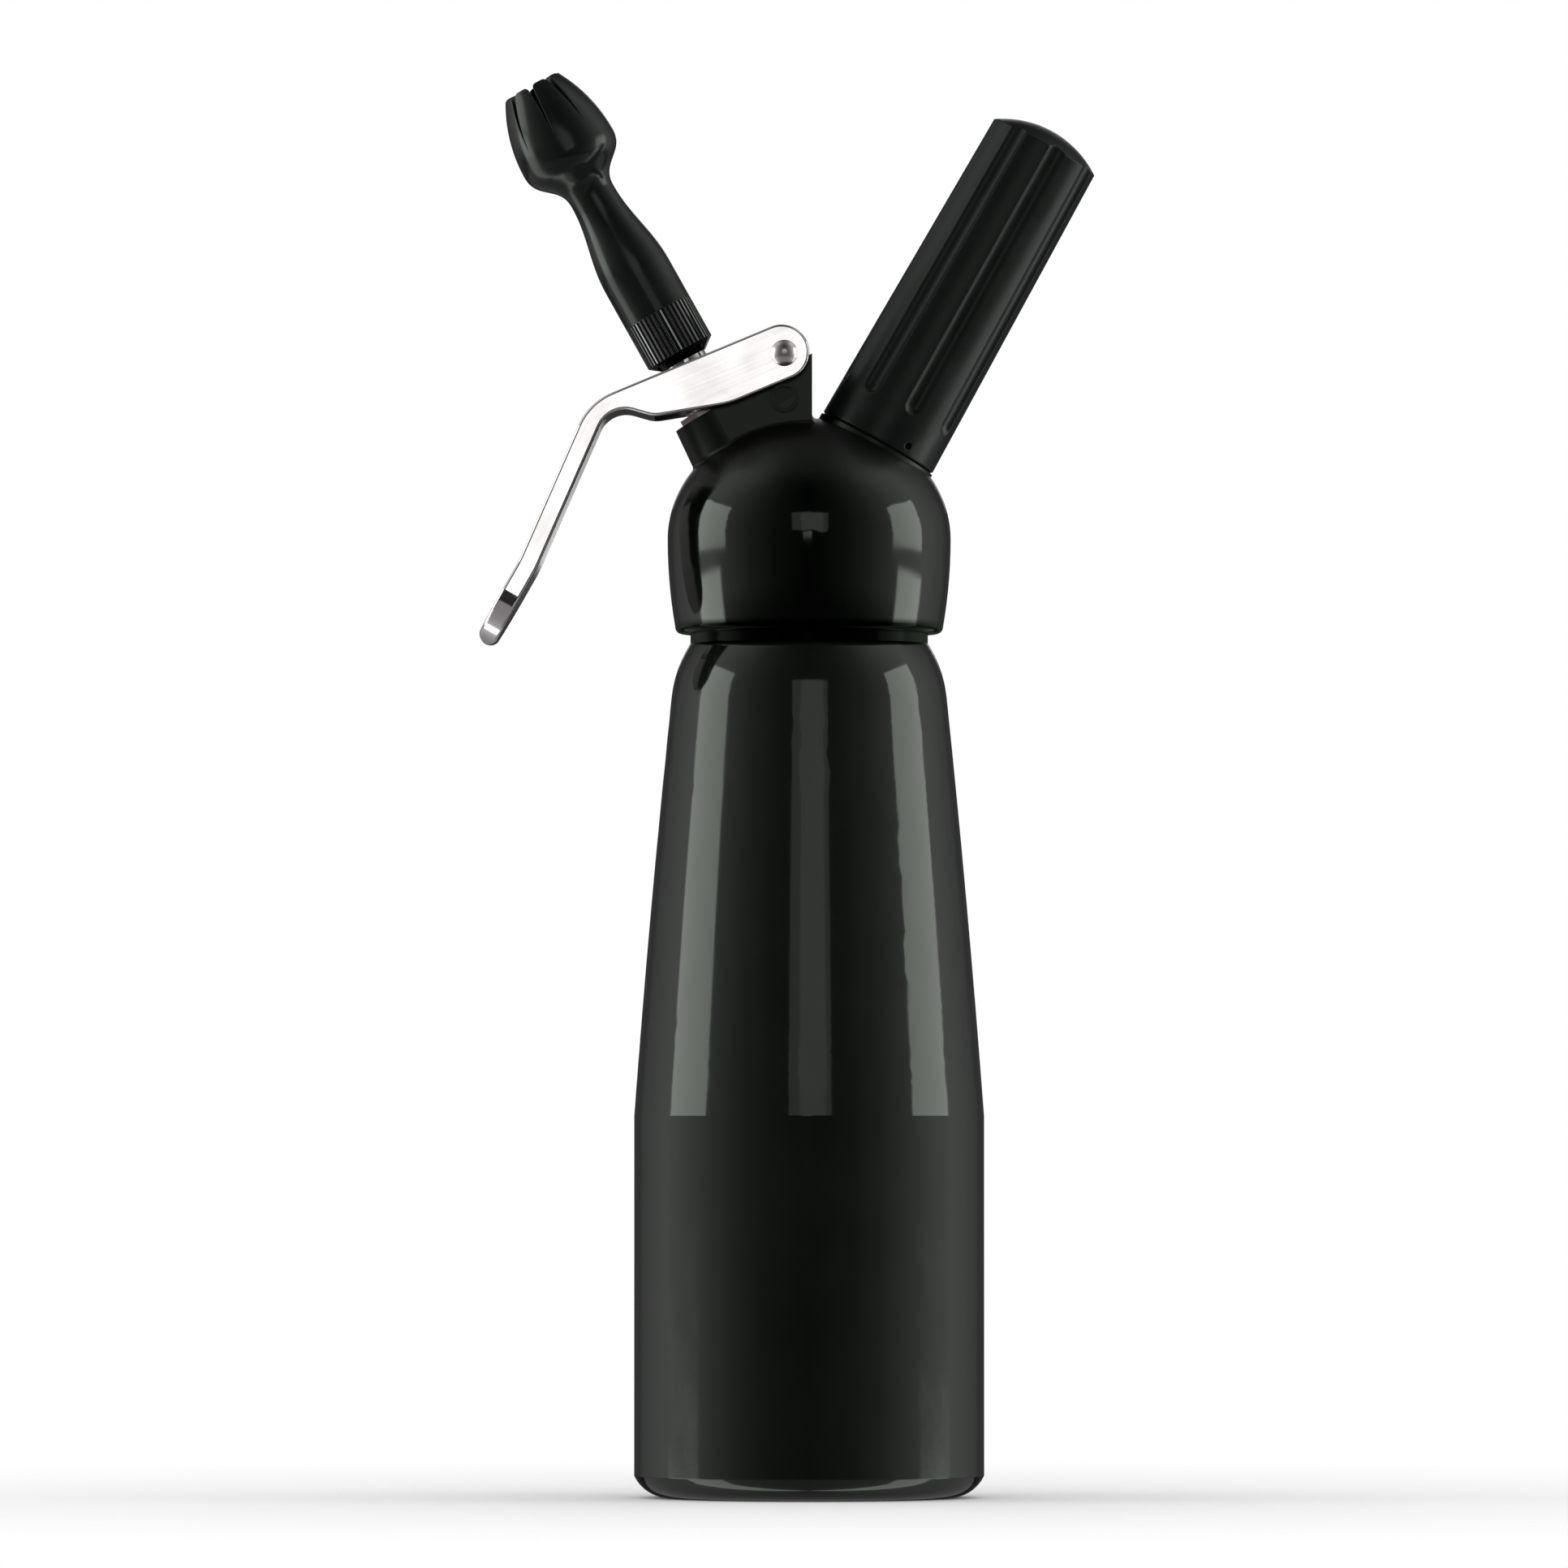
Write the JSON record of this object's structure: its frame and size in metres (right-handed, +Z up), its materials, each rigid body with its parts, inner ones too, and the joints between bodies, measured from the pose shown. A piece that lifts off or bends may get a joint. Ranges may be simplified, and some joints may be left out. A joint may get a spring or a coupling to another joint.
{
  "type": "cream whipper",
  "caption": "Cream whipper: a tapered bottle with a screw-on head, a squeeze lever that opens a sprung valve, a tulip nozzle, and a fluted holder for the gas charger.",
  "frame": {"origin": "centre of the bottle's flat base", "axes": "+Z up along the bottle; the nozzle and lever lean towards -X and the charger holder towards +X"},
  "size_m": [0.1371, 0.078, 0.3179],
  "materials": {
    "bottle_lacquer": "gloss",
    "head_lacquer": "gloss",
    "lever_metal": "polished",
    "pin_metal": "polished",
    "nozzle_plastic": "gloss",
    "collar_plastic": "gloss",
    "holder_plastic": "satin",
    "stem_steel": "polished",
    "gland_steel": "satin",
    "spring_steel": "satin",
    "bush_plastic": "matte",
    "adapter_brass": "satin",
    "charger_steel": "satin",
    "seal_rubber": "matte"
  },
  "bodies": {
    "bottle": {"bottle": "bottle_lacquer"},
    "head_seal": {"head_gasket": "seal_rubber"},
    "head": {"head": "head_lacquer", "valve_gland": "gland_steel", "valve_bush": "bush_plastic", "stem_o_ring": "seal_rubber", "valve_spring": "spring_steel", "gas_adapter": "adapter_brass", "adapter_o_ring": "seal_rubber", "check_valve_sleeve": "seal_rubber", "piercing_pin": "stem_steel", "charger_gasket": "seal_rubber"},
    "lever": {"lever": "lever_metal", "lever_pin": "pin_metal"},
    "valve": {"valve_stem": "stem_steel", "valve_disc": "stem_steel", "valve_disc_seal": "seal_rubber"},
    "nozzle_seal": {"nozzle_seal": "seal_rubber"},
    "nozzle": {"nozzle_collar": "collar_plastic", "nozzle_tip": "nozzle_plastic"},
    "charger": {"charger": "charger_steel"},
    "holder": {"charger_holder": "holder_plastic"}
  },
  "joints": [
    {"name": "head_rise", "type": "slide", "parent": "bottle", "child": "head_seal", "axis": [0, 0, 1], "range_m": [0, 0.012]},
    {"name": "head_turn", "type": "hinge", "parent": "head_seal", "child": "head", "pos_m": [0, 0, 0.2073], "axis": [0, 0, 1], "range_deg": [0, 1090.8]},
    {"name": "valve_press", "type": "slide", "parent": "head", "child": "valve", "axis": [0.4879, 0, -0.8729], "range_m": [0, 0.00279], "stiffness_N_per_m": 1200, "springref_m": -0.004, "deforming": ["valve_spring"]},
    {"name": "lever_squeeze", "type": "hinge", "parent": "head", "child": "lever", "pos_m": [-0.00554, 0, 0.25451], "axis": [0, -1, 0], "range_deg": [0, 8.59]},
    {"name": "nozzle_rise", "type": "slide", "parent": "valve", "child": "nozzle_seal", "axis": [-0.4879, 0, 0.8729], "range_m": [0, 0.0075]},
    {"name": "nozzle_turn", "type": "hinge", "parent": "nozzle_seal", "child": "nozzle", "pos_m": [-0.03131, 0, 0.25983], "axis": [-0.4879, 0, 0.8729], "range_deg": [0, 1818]},
    {"name": "holder_rise", "type": "slide", "parent": "head", "child": "charger", "axis": [0.4909, 0, 0.8712], "range_m": [0, 0.0125]},
    {"name": "holder_turn", "type": "hinge", "parent": "charger", "child": "holder", "pos_m": [0.02307, 0, 0.24895], "axis": [0.4909, 0, 0.8712], "range_deg": [0, 1818]}
  ],
  "couplings": [
    {"joint": "head_turn", "follows": "head_rise", "rad_per_m": 1570.8},
    {"joint": "lever_squeeze", "follows": "valve_press", "rad_per_m": 53.191},
    {"joint": "nozzle_turn", "follows": "nozzle_rise", "rad_per_m": 4188.8},
    {"joint": "holder_turn", "follows": "holder_rise", "rad_per_m": 2513.3}
  ]
}
